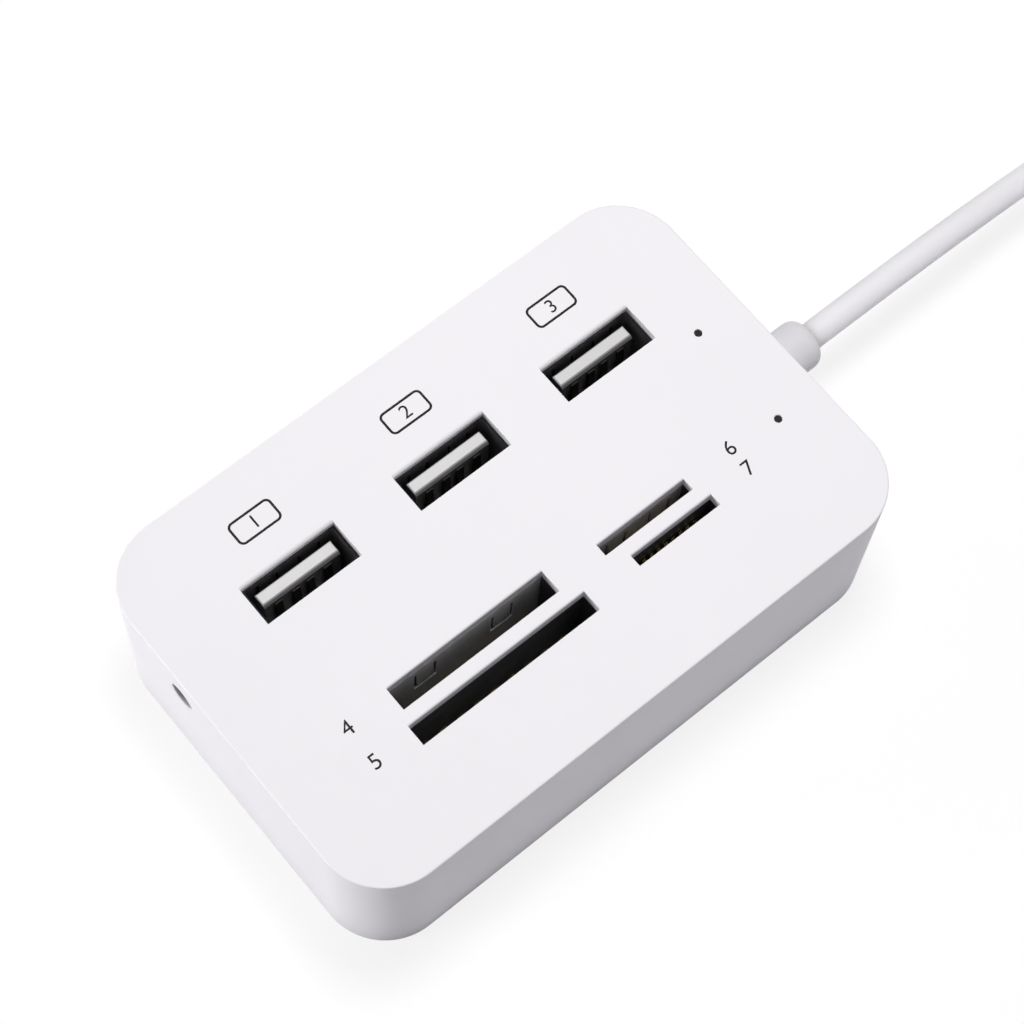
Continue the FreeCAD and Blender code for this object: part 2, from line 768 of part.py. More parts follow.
def build():
    nodes = {
        "top_shell": top_shell(),
        "bottom_cover": bottom_cover(),
        "main_board": main_board(),
        "card_board": card_board(),
    }
    for number, middle in enumerate(port_middles(), start=1):
        contacts = usb_contacts(middle)
        nodes["usb_shell_%d" % number] = usb_shell(middle)
        nodes["usb_insulator_%d" % number] = usb_insulator(middle, contacts)
        nodes["usb_contacts_%d" % number] = contacts
    for name, values in sockets.items():
        body, cover, contacts = card_socket(*values)
        nodes[name + "_body"] = body
        nodes[name + "_cover"] = cover
        nodes[name + "_contacts"] = contacts
    pin = jack_pin()
    spring = jack_spring()
    nodes["jack_body"] = jack_body(pin, spring)
    nodes["jack_pin"] = pin
    nodes["jack_spring"] = spring
    nodes["hub_chip"] = chip(port_row_x, main_back_y, -1)
    nodes["reader_chip"] = chip(reader_chip_x, card_face_y, 1)
    nodes["hub_crystal"] = crystal(port_row_x - port_pitch, main_back_y, -1)
    nodes["reader_crystal"] = crystal(reader_crystal_x, card_face_y, 1)
    nodes["bulk_capacitors"] = bulk_capacitors()
    nodes["led_hub"] = lamp(main_back_y, -1)
    nodes["led_card"] = lamp(card_face_y, 1)
    nodes["link_ribbon"] = link_ribbon()
    nodes["strain_relief"] = strain_relief()
    nodes["lead_wires"] = lead_wires()
    nodes["cord_lead"] = tube("cord_lead", lead_route, cord_radius)
    nodes["cord_coil"] = cord_coil()
    nodes["cord_tie"] = cord_tie()
    nodes["cord_tail"] = tube("cord_tail", tail_route, cord_radius)
    nodes["plug_overmould"] = plug_overmould()
    nodes["plug_shell"] = plug_shell()
    nodes["plug_insulator"] = plug_insulator()
    nodes["plug_contacts"] = plug_contacts()
    return nodes


os.makedirs("parts", exist_ok=True)
for name, shape in build().items():
    print(name, "solids", len(shape.Solids), "valid", shape.isValid(), "volume", round(shape.Volume, 1))
    shape.exportStep("parts/%s.step" % name)
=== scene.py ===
import math

import bmesh
import bpy
from mathutils import Matrix, Vector


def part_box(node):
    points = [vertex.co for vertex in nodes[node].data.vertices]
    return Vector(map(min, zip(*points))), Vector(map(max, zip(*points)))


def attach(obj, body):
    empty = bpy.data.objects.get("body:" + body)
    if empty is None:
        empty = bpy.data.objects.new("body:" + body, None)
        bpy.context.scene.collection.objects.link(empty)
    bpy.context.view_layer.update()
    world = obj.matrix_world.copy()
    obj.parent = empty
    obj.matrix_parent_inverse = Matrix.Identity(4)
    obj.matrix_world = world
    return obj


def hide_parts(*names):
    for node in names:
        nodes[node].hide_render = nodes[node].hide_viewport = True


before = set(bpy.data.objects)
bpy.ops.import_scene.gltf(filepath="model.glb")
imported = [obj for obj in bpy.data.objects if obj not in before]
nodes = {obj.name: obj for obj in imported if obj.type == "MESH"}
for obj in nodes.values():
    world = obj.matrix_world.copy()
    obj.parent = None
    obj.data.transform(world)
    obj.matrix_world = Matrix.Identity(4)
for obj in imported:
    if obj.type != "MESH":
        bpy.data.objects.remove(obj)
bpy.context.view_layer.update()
mm = 0.001
print("frame loaded:", len(nodes), "nodes")

bpy.context.scene.view_settings.view_transform = "Standard"

# Camera, fitted to the outline of the housing
cameraSetup = {
    "lens": 95.01,
    "sensor": 36.0,
    "eye": (-81.63, -83.59, 306.741),  # millimetres
    "right": (0.7706, -0.63628, 0.03622),
    "up": (0.5768, 0.72047, 0.385),
    "back": (-0.27106, -0.27579, 0.92221),
    "near": 0.01,
    "far": 30.0,
}


def setCamera(setup):
    data = bpy.data.cameras.new("photoCamera")
    data.lens = setup["lens"]
    data.sensor_width = setup["sensor"]
    data.clip_start = setup["near"]
    data.clip_end = setup["far"]
    camera = bpy.data.objects.new("photoCamera", data)
    bpy.context.scene.collection.objects.link(camera)
    turn = Matrix((setup["right"], setup["up"], setup["back"])).transposed().to_quaternion()
    camera.matrix_world = Matrix.Translation(Vector(setup["eye"]) * mm) @ turn.to_matrix().to_4x4()
    bpy.context.scene.camera = camera


setCamera(cameraSetup)
print("camera set")


# Nodes of a tree: a socket given as an input is linked, anything else is set
def addNode(tree, kind, inputs=None, **settings):
    made = tree.nodes.new(kind)
    for name, value in settings.items():
        setattr(made, name, value)
    for socket, value in (inputs or {}).items():
        if isinstance(value, bpy.types.NodeSocket):
            tree.links.new(value, made.inputs[socket])
        else:
            made.inputs[socket].default_value = value
    return made


def mathOf(tree, operation, *values):
    return addNode(tree, "ShaderNodeMath", dict(enumerate(values)), operation=operation).outputs["Value"]


def rampOf(tree, value, start, end=(0.0, 1.0)):  # maps one range on to another
    ramp = addNode(tree, "ShaderNodeMapRange", {"Value": value, "From Min": start[0], "From Max": start[1],
                                                "To Min": end[0], "To Max": end[1]})
    return ramp.outputs["Result"]


def blendOf(tree, factor, first, second):
    mix = addNode(tree, "ShaderNodeMix", {0: factor, 6: first, 7: second}, data_type="RGBA")
    return mix.outputs[2]  # the colour, as sockets 6 and 7 are


def partsOf(tree, vector):
    return addNode(tree, "ShaderNodeSeparateXYZ", {"Vector": vector}).outputs


def shade(colour, factor):
    return [c * factor for c in colour[:3]] + [1.0]


# Finishes: each reads the piece's own place, so that a pattern keeps its size
noiseReach = (0.3, 0.7)  # nearly all the values of a noise lie in here


def startFinish(name, **sockets):
    material = bpy.data.materials.new(name)
    material.use_nodes = True
    tree = material.node_tree
    shader = tree.nodes["Principled BSDF"]
    for socket, value in sockets.items():
        shader.inputs[socket.replace("_", " ")].default_value = value
    place = tree.nodes.new("ShaderNodeTexCoord").outputs["Object"]
    return material, tree, shader, place


def noiseAt(tree, place, perMm, detail=2.0, stretch=(1, 1, 1)):
    scaled = addNode(tree, "ShaderNodeMapping", {"Vector": place, "Scale": [s * perMm / mm for s in stretch]})
    noise = addNode(tree, "ShaderNodeTexNoise", {"Vector": scaled.outputs["Vector"], "Scale": 1.0,
                                                 "Detail": detail})
    return noise.outputs["Fac"]


def paint(tree, shader, colours):
    tree.links.new(colours, shader.inputs["Base Color"])


def unevenGloss(tree, shader, noise, roughness, spread):
    gloss = rampOf(tree, noise, noiseReach, (roughness - spread, roughness + spread))
    tree.links.new(gloss, shader.inputs["Roughness"])


def addBump(tree, shader, height, strength, depth):
    bump = addNode(tree, "ShaderNodeBump", {"Height": height, "Strength": strength, "Distance": depth * mm})
    tree.links.new(bump.outputs["Normal"], shader.inputs["Normal"])


# Painted shade by height: the colour turns to another one below a height, as inside a mouth
def turnBelow(tree, place, colours, deepColour, topZ, depth):
    lit = rampOf(tree, partsOf(tree, place)["Z"], (topZ - depth * mm, topZ))
    return blendOf(tree, lit, list(deepColour) + [1.0], colours)


# Moulded plastic: faint cloudiness in the colour, satin patches and a fine mould grain, with painted shade by
# height where asked
plasticLook = {
    "cloudPerMm": 0.05,
    "patchPerMm": 0.4,
    "patchDetail": 3.0,
    "patchGloss": 0.05,  # how far the patches are from the plain roughness
    "grainStrength": 0.25,
}


def mouldedPlastic(name, colour, roughness, cloud=0.03, grainPerMm=5.0, grainDepth=0.004, deep=None,
                   **sockets):
    look = plasticLook
    material, tree, shader, place = startFinish(name, **sockets)
    clouds = noiseAt(tree, place, look["cloudPerMm"])
    colours = blendOf(tree, clouds, shade(colour, 1 - cloud), shade(colour, 1 + cloud))
    if deep:
        colours = turnBelow(tree, place, colours, *deep)
    paint(tree, shader, colours)
    patches = noiseAt(tree, place, look["patchPerMm"], look["patchDetail"])
    unevenGloss(tree, shader, patches, roughness, look["patchGloss"])
    addBump(tree, shader, noiseAt(tree, place, grainPerMm), look["grainStrength"], grainDepth)
    return material


# Rolled sheet: metal with fine scratches along the rolling direction, with painted shade by height where
# asked
sheetLook = {
    "stainPerMm": 0.25,
    "stainDetail": 3.0,
    "stainShades": (0.9, 1.08),
    "scratchPerMm": 2.0,
    "scratchDetail": 4.0,
    "scratchGloss": 0.08,
    "scratchStrength": 0.3,
    "scratchDepth": 0.003,
}


def rolledMetal(name, colour, roughness, stretch, deep=None):
    look = sheetLook
    material, tree, shader, place = startFinish(name, Metallic=1.0)
    stains = noiseAt(tree, place, look["stainPerMm"], look["stainDetail"])
    colours = blendOf(tree, stains, *(shade(colour, factor) for factor in look["stainShades"]))
    if deep:
        colours = turnBelow(tree, place, colours, *deep)
    paint(tree, shader, colours)
    scratches = noiseAt(tree, place, look["scratchPerMm"], look["scratchDetail"], stretch)
    unevenGloss(tree, shader, scratches, roughness, look["scratchGloss"])
    addBump(tree, shader, scratches, look["scratchStrength"], look["scratchDepth"])
    return material


# Solder mask over copper: angular cells give the tracks
maskLook = {
    "roughness": 0.32,
    "coat": 0.15,
    "cellPerMm": 0.45,
    "trackEdge": (0.03, 0.06),  # from a cell's border
    "grainPerMm": 1.5,
    "grainDetail": 3.0,
    "mask": ((0.012, 0.085, 0.03, 1), (0.018, 0.115, 0.042, 1)),
    "track": (0.035, 0.17, 0.06, 1),
    "trackStrength": 0.4,
    "trackDepth": 0.03,
}


def solderMask(look):
    material, tree, shader, place = startFinish("solderMask", Roughness=look["roughness"],
                                                Coat_Weight=look["coat"])
    scaled = addNode(tree, "ShaderNodeMapping", {"Vector": place, "Scale": [look["cellPerMm"] / mm] * 3})
    cells = addNode(tree, "ShaderNodeTexVoronoi", {"Vector": scaled.outputs["Vector"], "Scale": 1.0},
                    feature="DISTANCE_TO_EDGE", distance="EUCLIDEAN")
    track = rampOf(tree, cells.outputs["Distance"], look["trackEdge"], (1.0, 0.0))
    mask = blendOf(tree, noiseAt(tree, place, look["grainPerMm"], look["grainDetail"]), *look["mask"])
    paint(tree, shader, blendOf(tree, track, mask, look["track"]))
    addBump(tree, shader, track, look["trackStrength"], look["trackDepth"])
    return material


# Flat ribbon: grey cores side by side along X, the first one red, darker towards the grooves between them as
# painted shade
ribbonLook = {
    "roughness": 0.5,
    "pitch": 1.0,
    "core": (0.36, 0.36, 0.38, 1),
    "paintedGrooveShade": (0.2, 0.2, 0.22, 1),
    "firstCore": (0.4, 0.03, 0.03, 1),
    "waveStrength": 0.5,
    "waveDepth": 0.1,
}


def ribbonFinish(look, startX):
    material, tree, shader, place = startFinish("ribbonFinish", Roughness=look["roughness"])
    pitch = look["pitch"] * mm
    across = mathOf(tree, "ADD", partsOf(tree, place)["X"], -startX)
    wave = mathOf(tree, "COSINE", mathOf(tree, "MULTIPLY", across, 2 * math.pi / pitch))
    grey = blendOf(tree, rampOf(tree, wave, (-1.0, 1.0)), look["core"], look["paintedGrooveShade"])
    paint(tree, shader, blendOf(tree, mathOf(tree, "LESS_THAN", across, pitch), grey, look["firstCore"]))
    addBump(tree, shader, wave, look["waveStrength"], look["waveDepth"])
    return material


# Four cores told apart by height and side: red and black above, green and white below
coreLook = {
    "roughness": 0.4,
    "slant": 0.8,
    "above": ((0.42, 0.02, 0.02, 1), (0.012, 0.012, 0.013, 1)),
    "below": ((0.02, 0.2, 0.05, 1), (0.7, 0.7, 0.7, 1)),
    "dull": (0.2, 0.2, 0.2, 1),
    "fresh": 0.85,  # share of the core's own colour where it is dull
    "tonePerMm": 0.8,
}


def coreFinish(look, middle):
    material, tree, shader, place = startFinish("coreFinish", Roughness=look["roughness"])
    parts = partsOf(tree, place)
    slant = look["slant"]
    upper = mathOf(tree, "GREATER_THAN", parts["Z"], middle.z)
    leaning = mathOf(tree, "MULTIPLY_ADD", parts["X"], 1 / slant, parts["Y"])
    nearer = mathOf(tree, "GREATER_THAN", leaning, middle.x / slant + middle.y)
    pairs = [blendOf(tree, nearer, *look[row]) for row in ("below", "above")]
    colours = blendOf(tree, upper, *pairs)
    tone = rampOf(tree, noiseAt(tree, place, look["tonePerMm"]), noiseReach)
    paint(tree, shader, blendOf(tree, tone, blendOf(tree, look["fresh"], look["dull"], colours), colours))
    return material


# Each plastic: colour, roughness, cloudiness, grains per millimetre and their depth
softJacket = {"Specular_IOR_Level": 0.3, "Subsurface_Radius": (1, 1, 1)}
housingWhite = mouldedPlastic("housingWhite", (0.87, 0.856, 0.878), 0.5, 0.012, 6.0, 0.003,
                              Specular_IOR_Level=0.08)
jacketWhite = mouldedPlastic("jacketWhite", (0.87, 0.855, 0.885), 0.5, 0.02, 3.0, 0.006,
                             Subsurface_Weight=1.0, Subsurface_Scale=4.0 * mm, **softJacket)
reliefWhite = mouldedPlastic("reliefWhite", (0.72, 0.706, 0.729), 0.5, 0.02, 3.0, 0.006,
                             Subsurface_Weight=0.6, Subsurface_Scale=1.2 * mm, **softJacket)
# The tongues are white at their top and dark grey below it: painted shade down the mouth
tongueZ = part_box("usb_insulator_1")[1].z
tongueWhitePaintedShade = mouldedPlastic("tongueWhitePaintedShade", (0.64, 0.63, 0.632), 0.4, 0.03,
                             deep=((0.11, 0.11, 0.115), tongueZ, 0.24))
plugWhite = mouldedPlastic("plugWhite", (0.72, 0.71, 0.71), 0.4, 0.03)
socketBlack = mouldedPlastic("socketBlack", (0.012, 0.012, 0.013), 0.5, 0.15)
chipBlack = mouldedPlastic("chipBlack", (0.018, 0.018, 0.019), 0.6, 0.2, 8.0, 0.01)
# The lamp lenses are near black: painted shade, so that the pinholes read as dark
lampLensPaintedShade = mouldedPlastic("lampLensPaintedShade", (0.008, 0.008, 0.009), 0.3, 0.1, Specular_IOR_Level=0.15)
tieNylon = mouldedPlastic("tieNylon", (0.74, 0.74, 0.76), 0.45, 0.03, 2.0, 0.02)
inkBlack = mouldedPlastic("inkBlack", (0.01, 0.01, 0.011), 0.6, 0.25, 9.0, 0.002, Specular_IOR_Level=0.15)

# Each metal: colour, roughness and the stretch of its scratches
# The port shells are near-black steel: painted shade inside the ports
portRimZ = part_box("usb_shell_1")[1].z
portSteelPaintedShade = rolledMetal("portSteelPaintedShade", (0.012, 0.012, 0.013), 0.55, (1.0, 1.0, 0.05),
                        deep=((0.14, 0.14, 0.145), portRimZ, 0.12))  # near black at the rim, dark grey deeper: painted shade in the port
coverSteel = rolledMetal("coverSteel", (0.75, 0.75, 0.76), 0.65, (1.0, 1.0, 0.05))
plugNickel = rolledMetal("plugNickel", (0.62, 0.61, 0.6), 0.26, (0.05, 1.0, 1.0))
canMetal = rolledMetal("canMetal", (0.68, 0.68, 0.7), 0.3, (1.0, 0.05, 1.0))
goldFlash = rolledMetal("goldFlash", (0.72, 0.5, 0.2), 0.25, (1.0, 1.0, 0.1))
# The port contacts: a brownish metal made near black, painted shade inside the ports
contactMetalPaintedShade = rolledMetal("contactMetalPaintedShade", (0.03, 0.026, 0.02), 0.55, (1.0, 1.0, 0.1))
boardGreen = solderMask(maskLook)
print("finishes made")

weldGap = 1e-7  # metres


# Meshes
def looseObject(name, data):
    piece = bpy.data.objects.new(name, data)
    bpy.context.scene.collection.objects.link(piece)
    return piece


def baked(piece):  # plain mesh of a work object, which is then removed
    graph = bpy.context.evaluated_depsgraph_get()
    mesh = bpy.data.meshes.new_from_object(piece.evaluated_get(graph), depsgraph=graph)
    bpy.data.objects.remove(piece)
    return mesh


def meshFrom(name, shape):
    mesh = bpy.data.meshes.new(name)
    shape.to_mesh(mesh)
    shape.free()
    return mesh


def addPiece(name, mesh, slot, finish, *replaced):
    mesh.materials.clear()
    mesh.materials.append(finish)
    piece = looseObject(name, mesh)
    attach(piece, "root")
    if replaced:
        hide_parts(*replaced)
    return piece


def middleOf(node):
    low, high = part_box(node)
    return (low + high) / 2


def smoothed(mesh, sharpAngle=30):
    mesh.shade_smooth()
    mesh.set_sharp_from_angle(angle=math.radians(sharpAngle))
    return mesh


def weighted(mesh):  # flat faces keep their own normals, so that small rounds shade cleanly
    piece = looseObject("weightedWork", mesh)
    change = piece.modifiers.new("normals", "WEIGHTED_NORMAL")
    change.keep_sharp = True
    return baked(piece)


def carved(mesh, tool, operation):
    piece = looseObject("carvedWork", mesh)
    other = looseObject("carvingTool", tool)
    change = piece.modifiers.new("carve", "BOOLEAN")
    change.operation = operation
    change.solver = "EXACT"
    change.object = other
    made = baked(piece)
    bpy.data.objects.remove(other)
    return made


def quarterTurn(steps):  # angles from 0 to 90 degrees
    return [math.radians(90 * i / steps) for i in range(steps + 1)]


def roundedLoop(low, high, radius, steps):  # points of a rounded rectangle, counter-clockwise
    middles = ((high[0] - radius, high[1] - radius), (low[0] + radius, high[1] - radius),
               (low[0] + radius, low[1] + radius), (high[0] - radius, low[1] + radius))
    points = []
    for quarter, (middleX, middleY) in enumerate(middles):
        for i in range(steps + 1):
            angle = math.radians(90 * (quarter + i / steps))
            points.append((middleX + radius * math.cos(angle), middleY + radius * math.sin(angle)))
    return points


def loft(shape, loops, closed=False):  # skins loops of points; an open chain gets end caps
    rings = [[shape.verts.new(point) for point in loop] for loop in loops]
    pairs = list(zip(rings, rings[1:]))
    if closed:
        pairs.append((rings[-1], rings[0]))
    else:
        shape.faces.new(rings[0][::-1])
        shape.faces.new(rings[-1])
    for lower, upper in pairs:
        for i in range(len(lower)):
            j = (i + 1) % len(lower)
            shape.faces.new((lower[i], lower[j], upper[j], upper[i]))


def addBlock(shape, low, high):
    loops = []
    for z in (low[2], high[2]):
        loops.append([(low[0], low[1], z), (high[0], low[1], z), (high[0], high[1], z), (low[0], high[1], z)])
    loft(shape, loops)


def addPrism(shape, low, high, radius, steps):
    outline = roundedLoop(low, high, radius, steps)
    loft(shape, [[(x, y, z) for x, y in outline] for z in (low[2], high[2])])


def lathe(shape, profile, centre, steps):  # profile of (x, radius) in millimetres, turned about X
    turns = [2 * math.pi * i / steps for i in range(steps)]
    rings = []
    for x, radius in profile:
        reach = radius * mm
        places = [(x * mm, centre.y + reach * math.cos(a), centre.z + reach * math.sin(a)) for a in turns]
        rings.append([shape.verts.new(place) for place in (places if radius else places[:1])])
    for first, second in zip(rings, rings[1:]):
        for i in range(steps):
            j = (i + 1) % steps
            corners = [ring[k % len(ring)] for ring, k in ((first, i), (first, j), (second, j), (second, i))]
            shape.faces.new(list(dict.fromkeys(corners)))


def outward(shape):
    bmesh.ops.remove_doubles(shape, verts=shape.verts, dist=weldGap)
    bmesh.ops.recalc_face_normals(shape, faces=shape.faces)
    return shape


# Lead: out of the relief, down to the desk, round the coil and back to the plug
leadSizes = {
    "diameter": 3.6,
    "length": 452.0,
    "exit": (48.4, 0.0, 10.8),
    "lead": [(48.4, 0, 10.8), (60, 0, 10.8), (72, 0, 10.4), (84, 0, 9.4), (95, 0, 7.7), (105, 0, 5.2),
             (115, 0, 2.4), (124, 0, 2.4), (132, 0, 2.4)],
    "tail": [(132, -43.2, 6.0), (124, -43.2, 6.0), (117.5, -43.2, 6.0), (108.5, -43.2, 4.0),
             (102, -43.2, 4.0)],
    "coilMiddle": (140.0, -21.6),
    "coilLaw": [(0, 21.6, 2.4), (270, 21.6, 2.4), (345, 18.0, 2.4), (540, 18.0, 2.4), (590, 19.8, 5.53),
                (625, 21.6, 6.0), (900, 21.6, 6.0)],  # turn, radius and height along the coil
    "coilStep": 15,
    "splineOrder": 3,
    "roundness": 8,
}


def coilPoints(sizes):
    law = sizes["coilLaw"]
    step = sizes["coilStep"]
    spread = 1 / math.cos(math.radians(step / 2))  # the spline runs a little inside its points
    points = []
    for turn in range(0, law[-1][0] + 1, step):
        before, after = next((a, b) for a, b in zip(law, law[1:]) if turn <= b[0])
        share = (turn - before[0]) / (after[0] - before[0])
        ease = share * share * (3 - 2 * share)
        radius = spread * (before[1] + (after[1] - before[1]) * ease)
        angle = math.radians(turn)
        points.append((sizes["coilMiddle"][0] + radius * math.sin(angle),
                       sizes["coilMiddle"][1] + radius * math.cos(angle),
                       before[2] + (after[2] - before[2]) * ease))
    return points


def makeLead(sizes):
    route = sizes["lead"] + coilPoints(sizes) + sizes["tail"]
    curve = bpy.data.curves.new("leadCord", "CURVE")
    curve.dimensions = "3D"
    spline = curve.splines.new("NURBS")
    spline.points.add(len(route) - 1)
    for point, place in zip(spline.points, route):
        point.co = [c * mm for c in place] + [1.0]
    spline.order_u = sizes["splineOrder"]
    spline.use_endpoint_u = True
    curve.resolution_u = sizes["roundness"]
    curve.bevel_depth = sizes["diameter"] / 2 * mm
    curve.bevel_resolution = sizes["roundness"]
    curve.use_fill_caps = True
    curve.materials.append(jacketWhite)
    return looseObject("leadCord", curve)


leadCord = makeLead(leadSizes)
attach(leadCord, "root")
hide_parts("cord_lead", "cord_coil", "cord_tail")
print("lead laid")

# Relief: a short round sleeve with a flared foot, and a flange inside the wall
reliefSizes = {
    "flange": 4.2,
    "flangeLength": 1.6,
    "wall": 1.8,
    "neck": 2.9,
    "foot": 3.9,
    "footLength": 1.5,
    "sleeve": 3.3,
    "endRound": 1.7,
    "softEdge": 0.15,
    "arcSteps": 10,
    "steps": 72,
    "sharpAngle": 40,
}


def makeRelief(sizes):
    low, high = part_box("strain_relief")
    start = low.x / mm
    tip = high.x / mm
    inner = start + sizes["flangeLength"]
    outer = inner + sizes["wall"]
    footEnd = outer + sizes["footLength"]
    soft = sizes["softEdge"]
    profile = [(start, 0), (start, sizes["flange"]), (inner, sizes["flange"]), (inner, sizes["neck"]),
               (outer, sizes["neck"]), (outer, sizes["foot"] - soft),
               (outer + soft, sizes["foot"] - soft / 3), (footEnd - soft, sizes["sleeve"] + soft / 2),
               (footEnd + soft * 2, sizes["sleeve"])]
    shoulder = sizes["sleeve"] - sizes["endRound"]
    for angle in quarterTurn(sizes["arcSteps"]):
        profile.append((tip - sizes["endRound"] * (1 - math.sin(angle)),
                        shoulder + sizes["endRound"] * math.cos(angle)))
    profile.append((tip, 0))
    shape = bmesh.new()
    lathe(shape, profile, (low + high) / 2, sizes["steps"])
    return smoothed(meshFrom("reliefSleeve", outward(shape)), sizes["sharpAngle"])


reliefSleeve = addPiece("reliefSleeve", makeRelief(reliefSizes), "cord_jacket", reliefWhite, "strain_relief")
print("relief turned")

# Housing: one moulding with an open underside, mouths for the ports and slots, and board guides inside
housingSizes = {
    "cornerRadius": 8.2,
    "edgeRound": 0.2,
    "wall": 1.8,
    "roof": 1.5,
    "rimWall": 1.0,
    "rebate": 1.8,
    "printStand": 0.012,  # the print is this thick, so the top lies that much lower
    "cornerSteps": 24,
    "edgeSteps": 6,
    "portFarLip": 0.5,
    "slotFarLip": 0.26,
    "farLipSteps": 8,
    "crispLip": 0.06,
    "pinholeLip": 0.08,
    "lipSteps": 4,
    "lipAngle": 60,  # edges sharper than this get a lip
    "flatAngle": 0.1,  # faces flatter than this become one
    "sharpAngle": 35,
    "mouthGrow": (0.4, 0.06),
    "seatGrow": 0.4,  # pockets under the roof for the rims of the ports
    "seatGap": 0.1,
    "socketRail": 1.0,
    "socketBase": 0.3,
    "pinhole": 0.5,
    "inletHole": 2.1,
    "reliefHole": 3.0,
    "holeReach": 1.5,  # in wall thicknesses, inwards from an end
    "holeSteps": 48,
    "guideReach": 1.5,
    "guideThickness": 1.0,
    "guideFoot": 9.0,
    "guideGap": 0.1,
    "inletGuideTop": 14.9,
    "pocketX": 20.0,
    "pocketWidth": 7.2,
    "pocketDepth": 0.6,
    "pocketZ": (5.9, 8.1),
}
topSlack = 1e-6  # metres
squareOn = 0.9999  # a normal's share along one axis, on a flat wall


def housingBody(sizes, low, high):
    top = high.z - sizes["printStand"] * mm
    loops = []

    def addLoop(inset, z, radius):
        outline = roundedLoop((low.x + inset, low.y + inset), (high.x - inset, high.y - inset), radius,
                              sizes["cornerSteps"])
        loops.append([(x, y, z) for x, y in outline])

    corner = sizes["cornerRadius"] * mm
    wall = sizes["wall"] * mm
    rim = sizes["rimWall"] * mm
    edge = sizes["edgeRound"] * mm
    addLoop(wall, high.z - sizes["roof"] * mm, corner - wall)
    addLoop(wall, sizes["rebate"] * mm, corner - wall)
    addLoop(rim, sizes["rebate"] * mm, corner - rim)
    addLoop(rim, low.z, corner - rim)
    addLoop(0, low.z, corner)
    for angle in quarterTurn(sizes["edgeSteps"]):
        inset = edge * (1 - math.cos(angle))
        addLoop(inset, top - edge * (1 - math.sin(angle)), corner - inset)
    shape = bmesh.new()
    loft(shape, loops)
    return meshFrom("housingBody", outward(shape))


def housingGuides(sizes, high):
    shape = bmesh.new()
    inside = high.x - sizes["wall"] * mm
    reach = sizes["guideReach"] * mm
    thick = sizes["guideThickness"] * mm
    foot = sizes["guideFoot"] * mm
    sunk = sizes["guideGap"] * mm  # the guides run a little into the wall and roof, to join them
    roofZ = high.z - sizes["roof"] * mm + sunk
    for board, leftTop in (("main_board", sizes["inletGuideTop"] * mm), ("card_board", roofZ)):
        boardLow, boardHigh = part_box(board)
        for y in (boardLow.y - sunk - thick, boardHigh.y + sunk):
            addBlock(shape, (inside - reach, y, foot), (inside + sunk, y + thick, roofZ))
            addBlock(shape, (-inside - sunk, y, foot), (reach - inside, y + thick, leftTop))
    return meshFrom("housingGuides", outward(shape))


def addRound(shape, start, end, radius, steps):
    turn = (Vector(end) - Vector(start)).to_track_quat("Z", "Y")
    turns = [2 * math.pi * i / steps for i in range(steps)]
    ring = [turn @ Vector((radius * math.cos(a), radius * math.sin(a), 0)) for a in turns]
    loft(shape, [[Vector(middle) + point for point in ring] for middle in (start, end)])


def addMouth(shape, low, high, topZ, lip, steps):  # the far wall runs out in a rounded lip
    profile = [(low[1], low[2]), (high[1], low[2])]
    for angle in quarterTurn(steps):
        profile.append((high[1] + lip * (1 - math.cos(angle)), topZ - lip * (1 - math.sin(angle))))
    profile += [(high[1] + lip, high[2]), (low[1], high[2])]
    loft(shape, [[(x, y, z) for y, z in profile] for x in (low[0], high[0])])


def housingCuts(sizes, low, high):
    shape = bmesh.new()
    pockets = bmesh.new()
    topZ = high.z - sizes["printStand"] * mm
    deep = high.z - 2 * sizes["roof"] * mm
    proud = high.z + sizes["roof"] * mm
    growX, growY = (g * mm for g in sizes["mouthGrow"])
    seat = sizes["seatGrow"] * mm
    for number in (1, 2, 3):
        a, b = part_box("usb_insulator_%d" % number)
        addMouth(shape, (a.x - growX, a.y - growY, deep), (b.x + growX, b.y + growY, proud), topZ,
                 sizes["portFarLip"] * mm, sizes["farLipSteps"])
        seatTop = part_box("usb_shell_%d" % number)[1].z + sizes["seatGap"] * mm
        addBlock(pockets, (a.x - seat, a.y - seat, deep), (b.x + seat, b.y + seat, seatTop))
    rail = sizes["socketRail"] * mm
    base = sizes["socketBase"] * mm
    for name, front, rear in (("sd", 0, base), ("micro", 0, base), ("ms", base, 0), ("m2", base, 0)):
        a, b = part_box(name + "_body")
        addMouth(shape, (a.x + rail, a.y + front, deep), (b.x - rail, b.y - rear, proud), topZ,
                 sizes["slotFarLip"] * mm, sizes["farLipSteps"])
    for name in ("led_hub", "led_card"):
        x, y = middleOf(name).xy
        addRound(shape, (x, y, deep), (x, y, proud), sizes["pinhole"] * mm, sizes["holeSteps"])
    wall = sizes["wall"] * mm
    reach = sizes["holeReach"] * wall
    for name, startX, endX, hole in (("jack_pin", low.x - wall, low.x + reach, "inletHole"),
                                     ("strain_relief", high.x - reach, high.x + wall, "reliefHole")):
        middle = middleOf(name)
        addRound(shape, (startX, middle.y, middle.z), (endX, middle.y, middle.z), sizes[hole] * mm,
                 sizes["holeSteps"])
    half = sizes["pocketWidth"] / 2 * mm
    deepY = sizes["pocketDepth"] * mm
    lowZ, highZ = (z * mm for z in sizes["pocketZ"])
    for x in (-sizes["pocketX"] * mm, sizes["pocketX"] * mm):
        for wallY in (low.y + wall, high.y - wall):
            addBlock(shape, (x - half, wallY - deepY, lowZ), (x + half, wallY + deepY, highZ))
    return meshFrom("housingCuts", outward(shape)), meshFrom("portPockets", outward(pockets))


